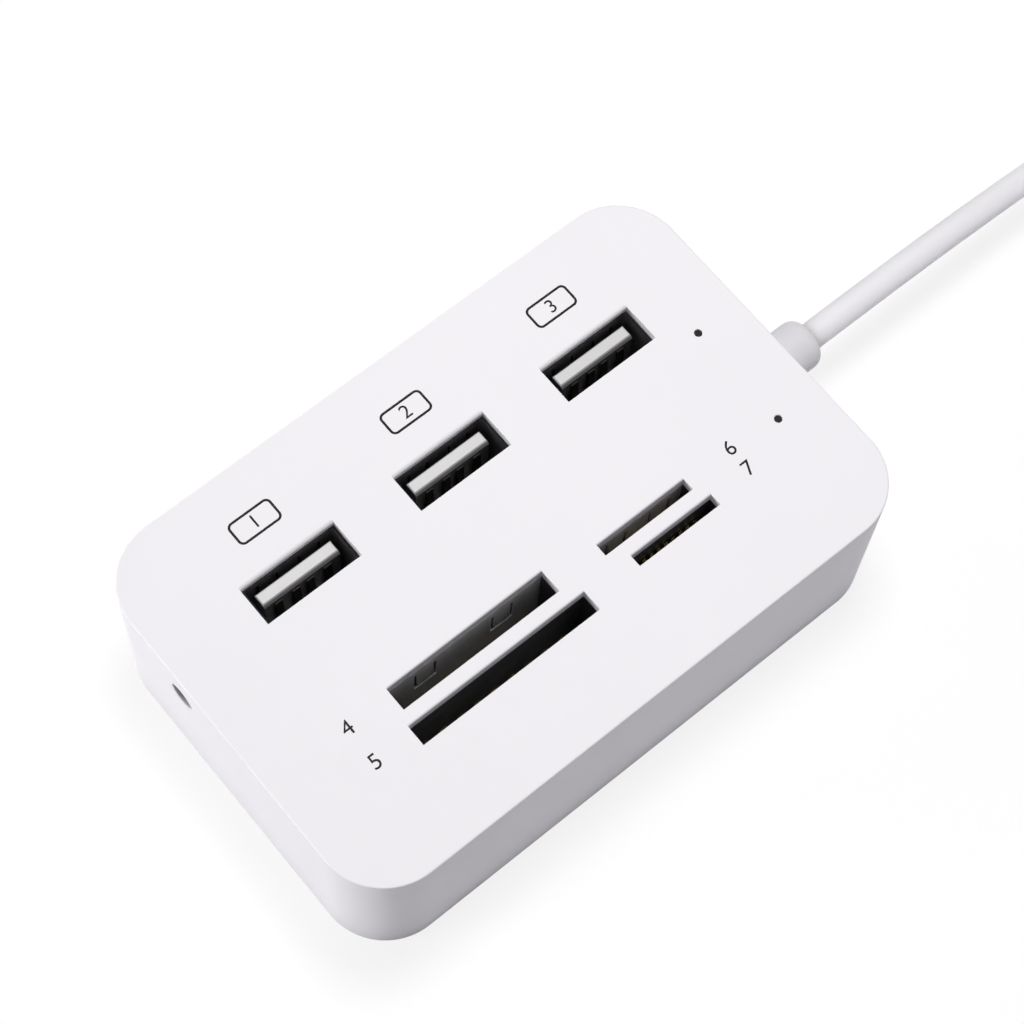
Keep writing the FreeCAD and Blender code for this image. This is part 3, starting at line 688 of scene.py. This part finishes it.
def softenLips(mesh, sizes):  # rounds the lips of the mouths and pinholes in the top
    shape = bmesh.new()
    shape.from_mesh(mesh)
    bmesh.ops.remove_doubles(shape, verts=shape.verts, dist=weldGap)
    bmesh.ops.dissolve_limit(shape, angle_limit=math.radians(sizes["flatAngle"]), verts=shape.verts,
                             edges=shape.edges)
    topZ = max(vert.co.z for vert in shape.verts)
    sharp = math.radians(sizes["lipAngle"])
    lips, pinholes = [], []
    for edge in shape.edges:
        onTop = all(vert.co.z > topZ - topSlack for vert in edge.verts)
        if onTop and len(edge.link_faces) == 2 and edge.calc_face_angle() > sharp:
            straight = all(max(abs(c) for c in face.normal) > squareOn for face in edge.link_faces)
            (lips if straight else pinholes).append(edge)
    for edges, width in ((pinholes, sizes["pinholeLip"]), (lips, sizes["crispLip"])):
        bmesh.ops.bevel(shape, geom=edges, offset=width * mm, segments=sizes["lipSteps"], profile=0.5,
                        affect="EDGES", clamp_overlap=True)
    return meshFrom("housingShell", shape)


def makeHousing(sizes):
    low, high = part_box("top_shell")
    mesh = carved(housingBody(sizes, low, high), housingGuides(sizes, high), "UNION")
    for cuts in housingCuts(sizes, low, high):
        mesh = carved(mesh, cuts, "DIFFERENCE")
    return weighted(smoothed(softenLips(mesh, sizes), sizes["sharpAngle"]))


housingShell = addPiece("housingShell", makeHousing(housingSizes), "housing", housingWhite, "top_shell")
print("housing moulded:", len(housingShell.data.polygons), "faces")

# Rings in the power inlet: a flush white bezel, then a black collar lining the rest of the hole, painted
# shade that stands in for the dark jack behind
inletSizes = {
    "outer": 2.095,
    "inner": 1.76,
    "bezel": (0.01, 0.54),  # from front to back, behind the outside of the wall
    "collar": (0.55, 1.9),
    "bezelLip": 0.15,
    "collarLip": 0.02,
    "lipSteps": 4,
    "steps": 48,
    "sharpAngle": 40,
}


def makeInletRing(name, sizes, reach, lip):
    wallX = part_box("top_shell")[0].x / mm
    front, back = reach
    profile = [(back, sizes["outer"]), (front, sizes["outer"])]
    for angle in quarterTurn(sizes["lipSteps"]):
        profile.append((front + lip * (1 - math.cos(angle)), sizes["inner"] + lip * (1 - math.sin(angle))))
    profile += [(back, sizes["inner"]), (back, sizes["outer"])]
    shape = bmesh.new()
    lathe(shape, [(wallX + x, radius) for x, radius in profile], middleOf("jack_pin"), sizes["steps"])
    return smoothed(meshFrom(name, outward(shape)), sizes["sharpAngle"])


bezelRing = makeInletRing("jackBezel", inletSizes, inletSizes["bezel"], inletSizes["bezelLip"])
addPiece("jackBezel", bezelRing, "housing", housingWhite)
# The black collar: painted shade in the hole
collarRing = makeInletRing("jackCollarPaintedShade", inletSizes, inletSizes["collar"], inletSizes["collarLip"])
addPiece("jackCollarPaintedShade", collarRing, "socket_plastic", socketBlack)
print("inlet rings set")


# Rows: a tree of nodes sets out copies of one shape along X
def startRow(name, sizes):  # with a named input for each size
    tree = bpy.data.node_groups.new(name, "GeometryNodeTree")
    for way in ("INPUT", "OUTPUT"):
        tree.interface.new_socket("Geometry", in_out=way, socket_type="NodeSocketGeometry")
    sockets = {}
    for size, kind in sizes.items():
        made = tree.interface.new_socket(size, in_out="INPUT", socket_type="NodeSocket" + kind)
        sockets[size] = made.identifier
    return tree, sockets, tree.nodes.new("NodeGroupInput").outputs


def endRow(tree, given, start, shape):
    step = addNode(tree, "ShaderNodeCombineXYZ", {"X": given["Pitch"]})
    row = addNode(tree, "GeometryNodeMeshLine", {"Count": given["Count"], "Start Location": start,
                                                 "Offset": step.outputs["Vector"]}, mode="OFFSET")
    copies = addNode(tree, "GeometryNodeInstanceOnPoints", {"Points": row.outputs["Mesh"], "Instance": shape})
    real = addNode(tree, "GeometryNodeRealizeInstances", {"Geometry": copies.outputs["Instances"]})
    painted = addNode(tree, "GeometryNodeSetMaterial", {"Geometry": real.outputs["Geometry"],
                                                        "Material": given["Finish"]})
    tree.links.new(painted.outputs["Geometry"], tree.nodes.new("NodeGroupOutput").inputs["Geometry"])


def bakeRow(shape, data, tree, sockets, values):
    piece = looseObject("rowWork", data)
    change = piece.modifiers.new("row", "NODES")
    change.node_group = tree
    for size, value in values.items():
        change[sockets[size]] = value
    mesh = baked(piece)
    shape.from_mesh(mesh)
    bpy.data.meshes.remove(mesh)


# Contacts: one bent strip, set out in a row
def contactRowTree():
    tree, sockets, given = startRow("contactRow", {
        "Count": "Int", "Pitch": "Float", "Width": "Float", "Thickness": "Float", "Bend": "Float",
        "Bend Steps": "Int", "Place": "Vector", "Finish": "Material"})
    bends = addNode(tree, "GeometryNodeFilletCurve", {"Curve": given["Geometry"], "Radius": given["Bend"],
                                                      "Limit Radius": True, "Count": given["Bend Steps"]},
                    mode="POLY")
    section = addNode(tree, "GeometryNodeCurvePrimitiveQuadrilateral", {"Width": given["Width"],
                                                                        "Height": given["Thickness"]})
    strip = addNode(tree, "GeometryNodeCurveToMesh", {"Curve": bends.outputs["Curve"], "Fill Caps": True,
                                                      "Profile Curve": section.outputs["Curve"]})
    span = mathOf(tree, "MULTIPLY", mathOf(tree, "SUBTRACT", given["Count"], 1.0), given["Pitch"])
    back = addNode(tree, "ShaderNodeCombineXYZ", {"X": mathOf(tree, "MULTIPLY", span, -0.5)})
    start = addNode(tree, "ShaderNodeVectorMath", {0: back.outputs["Vector"], 1: given["Place"]},
                    operation="ADD")
    endRow(tree, given, start.outputs["Vector"], strip.outputs["Mesh"])
    return tree, sockets


contactRow, contactSockets = contactRowTree()


def contactMesh(line, rows, width, middleX, finish, sizes):  # line of (y, z), rows of (count, pitch)
    curve = bpy.data.curves.new("contactLine", "CURVE")
    curve.dimensions = "3D"
    spline = curve.splines.new("POLY")
    spline.points.add(len(line) - 1)
    for point, (y, z) in zip(spline.points, line):
        point.co = (0, y, z, 1)
    shape = bmesh.new()
    for count, pitch in rows:
        bakeRow(shape, curve, contactRow, contactSockets, {
            "Count": count, "Pitch": pitch * mm, "Width": width * mm, "Thickness": sizes["sheet"] * mm,
            "Bend": sizes["bend"] * mm, "Bend Steps": sizes["bendSteps"], "Place": (middleX, 0, 0),
            "Finish": finish})
    return smoothed(meshFrom("contactStrips", outward(shape)))


portContactSizes = {
    "rows": ((2, 7.0), (2, 2.0)),  # the outer pair and the inner pair, each with its own pitch
    "width": 1.0,
    "sheet": 0.2,
    "bow": 0.35,
    "blockDepth": 4.6,
    "bend": 0.35,
    "bendSteps": 3,
}


def makePortContacts(number, sizes):
    replaced = "usb_contacts_%d" % number
    low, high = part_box(replaced)
    sheet = sizes["sheet"] * mm
    y = high.y - sheet / 2
    tail = low.z + sheet / 2
    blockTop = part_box("usb_insulator_%d" % number)[0].z + sizes["blockDepth"] * mm
    bow = (y - sizes["bow"] * mm, (blockTop + high.z) / 2)
    line = [(low.y, tail), (y, tail), (y, blockTop), bow, (y, high.z)]
    mesh = contactMesh(line, sizes["rows"], sizes["width"], (low.x + high.x) / 2, contactMetalPaintedShade, sizes)
    addPiece("portContacts%d" % number, mesh, "contact", contactMetalPaintedShade, replaced)


for number in (1, 2, 3):
    makePortContacts(number, portContactSizes)

socketSpringSizes = {
    "sd": {"count": 9, "pitch": 2.5, "width": 0.9, "rear": False},
    "ms": {"count": 10, "pitch": 1.9, "width": 0.9, "rear": True},
    "micro": {"count": 8, "pitch": 1.1, "width": 0.5, "rear": False},
    "m2": {"count": 11, "pitch": 1.0, "width": 0.5, "rear": True},
    "sheet": 0.2,
    "footLength": 1.2,
    "bar": 2.0,
    "rise": 0.75,
    "run": 2.7,
    "tip": 1.3,
    "bend": 0.5,
    "bendSteps": 3,
}


def makeSocketSprings(name, sizes):
    row = sizes[name]
    low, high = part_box(name + "_contacts")
    sheet = sizes["sheet"] * mm
    side = 1 if row["rear"] else -1
    face = low.y + sheet / 2 if row["rear"] else high.y - sheet / 2
    floorZ = low.z + (sizes["footLength"] + sizes["bar"]) * mm
    rise = side * sizes["rise"] * mm
    line = [(face, low.z), (face, floorZ), (face + rise, floorZ + sizes["run"] * mm),
            (face + rise / 2, floorZ + (sizes["run"] + sizes["tip"]) * mm)]
    mesh = contactMesh(line, [(row["count"], row["pitch"])], row["width"], (low.x + high.x) / 2, goldFlash,
                       sizes)
    addPiece(name + "Springs", mesh, "contact", goldFlash, name + "_contacts")


for name in ("sd", "ms", "micro", "m2"):
    makeSocketSprings(name, socketSpringSizes)
print("contacts set out")

# Tie round the coil, snug on its three passes
tieSizes = {
    "thickness": 0.6,
    "span": 11.6,
    "spanSteps": 4,
    "arcs": ((-90, 0), (0, 135), (135, 270)),  # degrees round the outer low, outer high and inner pass
    "arcSteps": 10,
    "slack": 0.02,
}


def tieOutline(reach, sizes):  # hull of the three passes, in (distance from the coil's middle, height)
    law = leadSizes["coilLaw"]
    inner, outer = law[2][1], law[0][1]
    low, high = law[0][2], law[-1][2]
    points = []
    for (distance, height), (start, end) in zip(((outer, low), (outer, high), (inner, low)), sizes["arcs"]):
        for i in range(sizes["arcSteps"] + 1):
            angle = math.radians(start + (end - start) * i / sizes["arcSteps"])
            points.append((distance + reach * math.cos(angle), height + reach * math.sin(angle)))
    return points


def makeTie(sizes):
    middleX, middleY = leadSizes["coilMiddle"]
    inside = leadSizes["diameter"] / 2 + sizes["slack"]
    outside = leadSizes["diameter"] / 2 + sizes["thickness"]
    turns = [sizes["span"] * (i / sizes["spanSteps"] - 0.5) for i in range(sizes["spanSteps"] + 1)]
    loops = []
    for reach, order in ((inside, turns), (outside, turns[::-1])):
        for turn in order:
            angle = math.radians(turn)
            loops.append([((middleX + d * math.cos(angle)) * mm, (middleY + d * math.sin(angle)) * mm, z * mm)
                          for d, z in tieOutline(reach, sizes)])
    shape = bmesh.new()
    loft(shape, loops, closed=True)
    return smoothed(meshFrom("coilTie", outward(shape)))


coilTie = addPiece("coilTie", makeTie(tieSizes), "tie", tieNylon, "cord_tie")

# Plug: soft grip with ribs, boot, steel shell, insulator and contacts
plugSizes = {
    "bootLength": 6.0,
    "bootRadius": 2.4,
    "bootTip": 0.3,
    "bootRound": 0.999,  # share of the boot's radius in its corners, so that its section stays open
    "gripRound": 1.6,
    "gripSink": 0.25,  # the ribs stand this proud of the grip
    "endRound": 1.0,
    "endSteps": 6,
    "cornerSteps": 8,
    "sharpAngle": 40,
    "ribCount": 7,
    "ribPitch": 1.7,
    "ribLength": 9.0,
    "ribRadius": 0.45,
    "ribSides": 16,
    "ribPlace": 11.0,  # from the boot's thick end
    "contactWidth": 1.0,
    "contactRound": 0.2,
    "contactSteps": 4,
    "contactRows": ((2, 7.0), (2, 2.0)),
}


def makePlugGrip(sizes):
    low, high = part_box("plug_overmould")
    middleY = (low.y + high.y) / 2
    middleZ = (low.z + high.z) / 2
    halfY = (high.y - low.y) / 2
    halfZ = (high.z - low.z) / 2 - sizes["gripSink"] * mm
    bootStart = high.x - sizes["bootLength"] * mm
    rounding = sizes["endRound"] * mm
    corner = sizes["gripRound"] * mm
    loops = []

    def addSection(x, acrossY, acrossZ, radius):
        outline = roundedLoop((middleY - acrossY, middleZ - acrossZ), (middleY + acrossY, middleZ + acrossZ),
                              radius, sizes["cornerSteps"])
        loops.append([(x, y, z) for y, z in outline])

    arcs = quarterTurn(sizes["endSteps"])
    for endX, side, order in ((low.x, 1, arcs), (bootStart, -1, arcs[::-1])):
        for angle in order:
            inset = rounding * (1 - math.sin(angle))
            addSection(endX + side * rounding * (1 - math.cos(angle)), halfY - inset, halfZ - inset, corner)
    thick = halfZ - 2 * rounding
    thin = sizes["bootRadius"] * mm
    tip = sizes["bootTip"] * mm
    for x, radius in ((bootStart, thick), (high.x - tip, thin), (high.x, thin - tip)):
        addSection(x, radius, radius, radius * sizes["bootRound"])
    shape = bmesh.new()
    loft(shape, loops)
    return weighted(smoothed(meshFrom("plugGrip", outward(shape)), sizes["sharpAngle"]))


def plugRibTree():
    tree, sockets, given = startRow("plugRibs", {
        "Count": "Int", "Pitch": "Float", "Length": "Float", "Radius": "Float", "Sides": "Int",
        "Start": "Vector", "Finish": "Material"})
    ends = [addNode(tree, "ShaderNodeCombineXYZ", {"Y": mathOf(tree, "MULTIPLY", given["Length"], share)})
            for share in (-0.5, 0.5)]
    line = addNode(tree, "GeometryNodeCurvePrimitiveLine", {"Start": ends[0].outputs["Vector"],
                                                            "End": ends[1].outputs["Vector"]}, mode="POINTS")
    ring = addNode(tree, "GeometryNodeCurvePrimitiveCircle", {"Resolution": given["Sides"],
                                                              "Radius": given["Radius"]}, mode="RADIUS")
    rib = addNode(tree, "GeometryNodeCurveToMesh", {"Curve": line.outputs["Curve"], "Fill Caps": True,
                                                    "Profile Curve": ring.outputs["Curve"]})
    endRow(tree, given, given["Start"], rib.outputs["Mesh"])
    return tree, sockets


def makePlugRibs(sizes):
    tree, sockets = plugRibTree()
    low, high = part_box("plug_overmould")
    radius = sizes["ribRadius"] * mm
    span = sizes["ribPitch"] * (sizes["ribCount"] - 1) * mm
    startX = high.x - (sizes["bootLength"] + sizes["ribPlace"]) * mm - span / 2
    shape = bmesh.new()
    for z in (high.z - radius, low.z + radius):
        bakeRow(shape, bpy.data.meshes.new("ribWork"), tree, sockets, {
            "Count": sizes["ribCount"], "Pitch": sizes["ribPitch"] * mm, "Length": sizes["ribLength"] * mm,
            "Radius": radius, "Sides": sizes["ribSides"], "Start": (startX, (low.y + high.y) / 2, z),
            "Finish": jacketWhite})
    return smoothed(meshFrom("plugRibs", outward(shape)))


def makePlugContacts(sizes):
    low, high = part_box("plug_contacts")
    half = sizes["contactWidth"] / 2 * mm
    shape = bmesh.new()
    for count, pitch in sizes["contactRows"]:
        for i in range(count):
            y = (low.y + high.y) / 2 + (i - (count - 1) / 2) * pitch * mm
            addPrism(shape, (low.x, y - half, low.z), (high.x, y + half, high.z), sizes["contactRound"] * mm,
                     sizes["contactSteps"])
    return smoothed(meshFrom("plugContacts", outward(shape)))


plugGrip = addPiece("plugGrip", makePlugGrip(plugSizes), "cord_jacket", jacketWhite, "plug_overmould")
plugRibs = addPiece("plugRibs", makePlugRibs(plugSizes), "cord_jacket", jacketWhite)
plugContacts = addPiece("plugContacts", makePlugContacts(plugSizes), "contact", goldFlash, "plug_contacts")
print("tie and plug made")

# Printed numerals: a framed number by each port and a plain one by each slot
printSizes = {
    "portNumber": 2.5,
    "slotNumber": 2.7,
    "frame": (6.0, 3.2),
    "frameRound": 0.75,
    "frameLine": 0.3,
    "frameSteps": 6,
    "framePlace": (-0.3, 18.5),  # from the port's middle in x, and in y from the housing's middle
    "slots": {"4": (-28.8, -7.4), "5": (-28.8, -12.3), "6": (26.4, -8.4), "7": (26.4, -11.6)},
    "sunk": 0.02,
}


def numeralMesh(words, size, thick):
    curve = bpy.data.curves.new("numeral", "FONT")
    curve.body = words
    curve.size = size * mm
    curve.align_x = "CENTER"
    curve.align_y = "CENTER"
    curve.extrude = thick / 2
    return baked(looseObject("numeralWork", curve))


def makePrint(sizes):
    thick = (sizes["sunk"] + housingSizes["printStand"]) * mm
    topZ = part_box("top_shell")[1].z
    lowZ = topZ - thick
    shape = bmesh.new()

    def setNumber(words, size, x, y):
        mesh = numeralMesh(words, size, thick)
        mesh.transform(Matrix.Translation((x, y, (topZ + lowZ) / 2)))
        shape.from_mesh(mesh)
        bpy.data.meshes.remove(mesh)

    halfX, halfY = (s / 2 * mm for s in sizes["frame"])
    line = sizes["frameLine"] * mm
    corner = sizes["frameRound"] * mm
    y = sizes["framePlace"][1] * mm
    for number in (1, 2, 3):
        x = middleOf("usb_insulator_%d" % number).x + sizes["framePlace"][0] * mm
        loops = []
        for inset, z in ((0, lowZ), (0, topZ), (line, topZ), (line, lowZ)):
            outline = roundedLoop((x - halfX + inset, y - halfY + inset),
                                  (x + halfX - inset, y + halfY - inset), corner - inset, sizes["frameSteps"])
            loops.append([(px, py, z) for px, py in outline])
        loft(shape, loops, closed=True)
        setNumber(str(number), sizes["portNumber"], x, y)
    for words, (slotX, slotY) in sizes["slots"].items():
        setNumber(words, sizes["slotNumber"], slotX * mm, slotY * mm)
    return meshFrom("topPrint", outward(shape))


addPiece("topPrint", makePrint(printSizes), "housing", inkBlack)
print("numerals printed")

# Pieces that keep their solids: each gets its finish
keptFinishes = {
    "bottom_cover": housingWhite,
    "main_board": boardGreen,
    "card_board": boardGreen,
    "jack_body": socketBlack,
    "jack_pin": plugNickel,
    "jack_spring": goldFlash,
    "hub_chip": chipBlack,
    "reader_chip": chipBlack,
    "hub_crystal": canMetal,
    "reader_crystal": canMetal,
    "bulk_capacitors": canMetal,
    "led_hub": lampLensPaintedShade,
    "led_card": lampLensPaintedShade,
    "link_ribbon": ribbonFinish(ribbonLook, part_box("link_ribbon")[0].x),
    "lead_wires": coreFinish(coreLook, middleOf("lead_wires")),
    "plug_shell": plugNickel,
    "plug_insulator": plugWhite,
}
for number in (1, 2, 3):
    keptFinishes["usb_shell_%d" % number] = portSteelPaintedShade
    keptFinishes["usb_insulator_%d" % number] = tongueWhitePaintedShade
for name in ("sd", "ms", "micro", "m2"):
    keptFinishes[name + "_body"] = socketBlack
    keptFinishes[name + "_cover"] = coverSteel
for name, finish in keptFinishes.items():
    nodes[name].data.materials.clear()
    nodes[name].data.materials.append(finish)
print("finishes given to", len(keptFinishes), "solids")

# Studio: pale floor, one soft light overhead, one low at each end, even fill from all round
studioSizes = {
    "floor": 12.0,
    "floorDrop": 0.02,
    "white": (1.0, 1.0, 1.0, 1),
    "bounceColour": (0.74, 0.727, 0.76, 1),
    "paper": 0.8,  # share of plain white that the floor shows
    "paperWhite": 1.025,
    "paperFade": (0.2, 0.4),  # metres from the middle, over which the floor turns plain white
    "fill": 0.2,
    "fillColour": (1.0, 0.975, 1.02, 1),
    "lights": {  # direction, distance, width and power
        "topLight": ((0.112, 0.099, 0.989), 0.4, 0.107, 1.08),
        "sideLight": ((-0.9, 0.41, 0.15), 0.6, 0.192, 2.0),
        "endLight": ((0.82, -0.56, 0.1), 0.4, 0.192, 0.15),
    },
}


def seenRays(tree):  # 1 for rays that show the backdrop directly, in gloss or through glass
    rays = tree.nodes.new("ShaderNodeLightPath").outputs
    direct = mathOf(tree, "MAXIMUM", rays["Is Camera Ray"], rays["Is Glossy Ray"])
    return mathOf(tree, "MAXIMUM", direct, rays["Is Transmission Ray"])


def makeFloor(sizes):
    material = bpy.data.materials.new("floorPaper")
    material.use_nodes = True
    tree = material.node_tree
    tree.nodes.clear()
    seen = seenRays(tree)
    colour = blendOf(tree, seen, sizes["bounceColour"], sizes["white"])
    place = tree.nodes.new("ShaderNodeTexCoord").outputs["Object"]
    away = addNode(tree, "ShaderNodeVectorMath", {0: place}, operation="LENGTH").outputs["Value"]
    share = mathOf(tree, "MULTIPLY", seen, rampOf(tree, away, sizes["paperFade"], (sizes["paper"], 1.0)))
    matt = addNode(tree, "ShaderNodeBsdfDiffuse", {"Color": colour})
    glow = addNode(tree, "ShaderNodeEmission", {"Color": sizes["white"], "Strength": sizes["paperWhite"]})
    both = addNode(tree, "ShaderNodeMixShader", {0: share, 1: matt.outputs["BSDF"],
                                                 2: glow.outputs["Emission"]})
    addNode(tree, "ShaderNodeOutputMaterial", {"Surface": both.outputs["Shader"]})
    half = sizes["floor"] / 2
    drop = -sizes["floorDrop"] * mm
    corners = [(-half, -half), (half, -half), (half, half), (-half, half)]
    shape = bmesh.new()
    shape.faces.new([shape.verts.new((x, y, drop)) for x, y in corners])
    floor = looseObject("floorPaper", meshFrom("floorPaper", shape))
    floor.data.materials.append(material)


def makeLights(sizes):
    world = bpy.data.worlds.new("studioFill")
    bpy.context.scene.world = world
    world.use_nodes = True
    tree = world.node_tree
    backdrop = tree.nodes["Background"].inputs
    seen = seenRays(tree)
    tree.links.new(blendOf(tree, seen, sizes["fillColour"], sizes["white"]), backdrop["Color"])
    tree.links.new(rampOf(tree, seen, (0.0, 1.0), (sizes["fill"], 1.0)), backdrop["Strength"])
    for name, (way, far, wide, power) in sizes["lights"].items():
        light = bpy.data.lights.new(name, "AREA")
        light.energy = power
        light.size = wide
        lamp = looseObject(name, light)
        way = Vector(way).normalized()
        lamp.location = way * far
        lamp.rotation_euler = way.to_track_quat("Z", "Y").to_euler()
        lamp.visible_camera = False


makeFloor(studioSizes)
makeLights(studioSizes)
print("studio lit")
